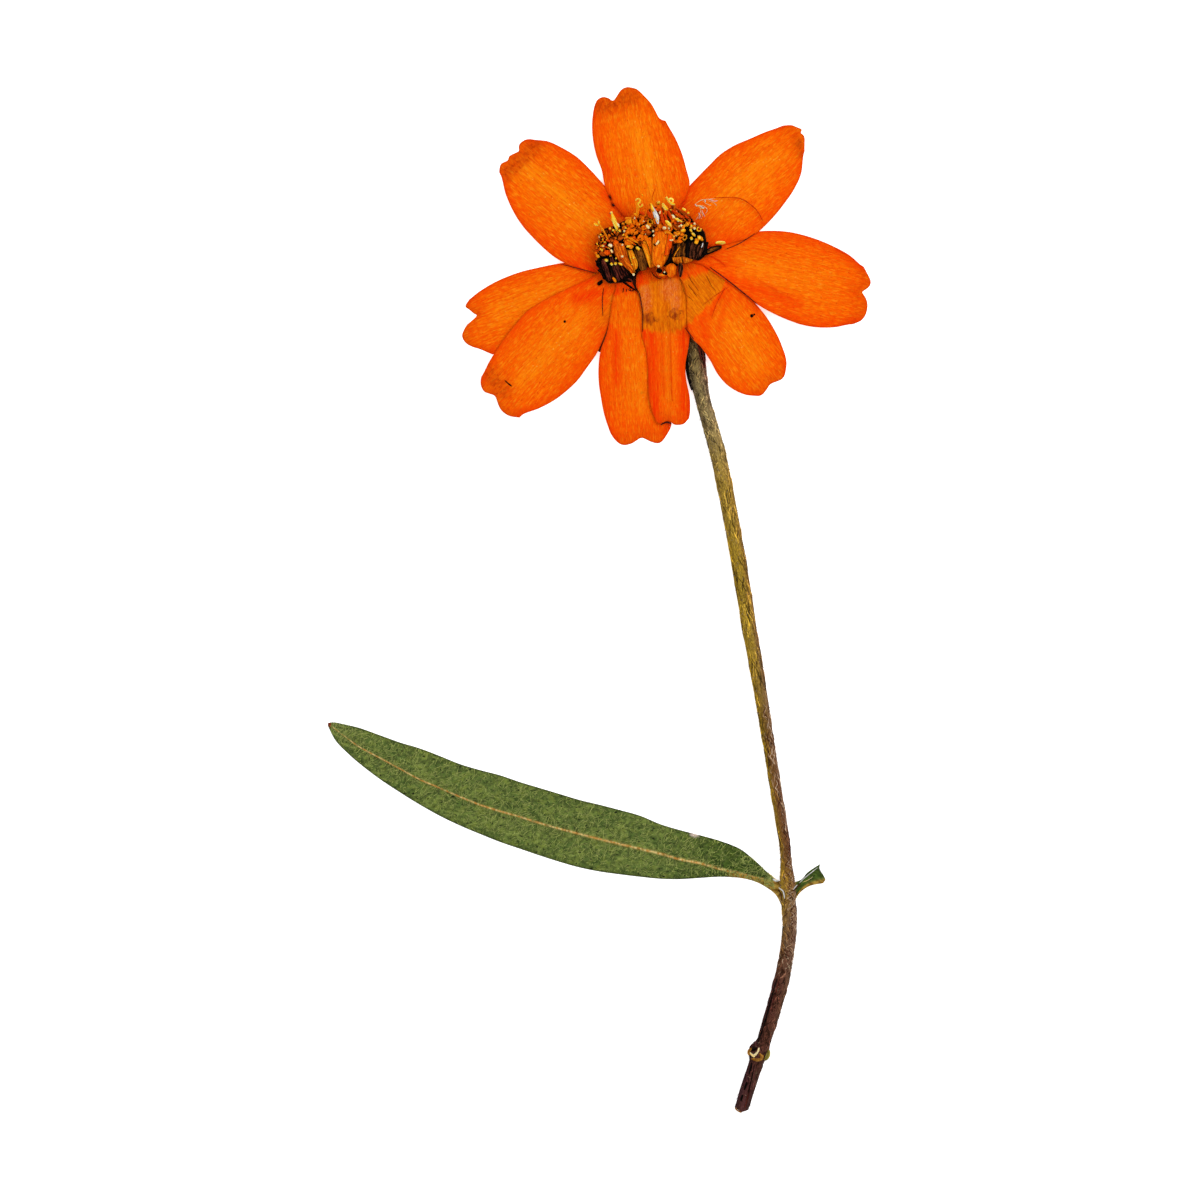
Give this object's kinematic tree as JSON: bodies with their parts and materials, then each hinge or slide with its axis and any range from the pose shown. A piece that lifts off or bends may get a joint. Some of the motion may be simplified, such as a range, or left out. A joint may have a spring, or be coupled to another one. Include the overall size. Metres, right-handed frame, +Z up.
{
  "type": "zinnia flower",
  "caption": "Pressed and dried orange zinnia lying flat: bloom with notched ray petals, thin jointed stem, long narrow leaf and torn leaf stub.",
  "frame": {"origin": "on the surface that the flower lies on, below the middle of the whole flower", "axes": "+Z up from the surface, +Y from the cut end of the stem towards the bloom, +X to the right with the leaf on the left"},
  "size_m": [0.0678, 0.1283, 0.0045],
  "materials": {
    "petal": "dry, matte, thin orange petal with fine lengthwise veins",
    "disc": "dry tubular florets and dark chaff with yellow anthers",
    "bract": "dry papery bract with a brown tip",
    "stem": "dry ribbed stalk, olive above and purple brown below, with fine pale hairs",
    "leaf": "dry mottled green blade with fine pale hairs and a tan midrib"
  },
  "bodies": {
    "root": {"ray_petals": "petal", "disc_florets": "disc", "involucre": "bract", "stem": "stem", "leaf": "leaf", "leaf_stub": "leaf"}
  },
  "joints": []
}
